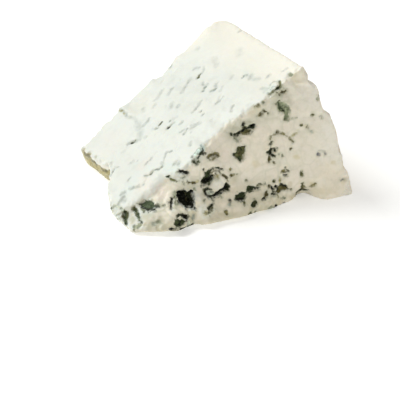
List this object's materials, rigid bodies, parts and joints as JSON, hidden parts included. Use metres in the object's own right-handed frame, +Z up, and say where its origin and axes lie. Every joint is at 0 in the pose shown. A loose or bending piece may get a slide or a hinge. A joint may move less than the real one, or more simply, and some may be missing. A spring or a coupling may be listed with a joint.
{
  "type": "blue cheese wedge",
  "caption": "Wedge of crumbly blue cheese with mould-lined hollows, lying flat on one cut face with the other cut sloping up from the tip to the rind.",
  "frame": {"origin": "middle of the flat base that the wedge lies on", "axes": "+X along the base from the broken tip to the curved rind, +Y from the crumbly face to the flat rind, parallel to the wheel's axis, +Z up"},
  "size_m": [0.0972, 0.0806, 0.0558],
  "materials": {
    "cheese_paste": "moist and slightly waxy, ivory paste with dark green to grey mould"
  },
  "bodies": {
    "root": {"cheese_wedge": "cheese_paste"}
  },
  "joints": []
}
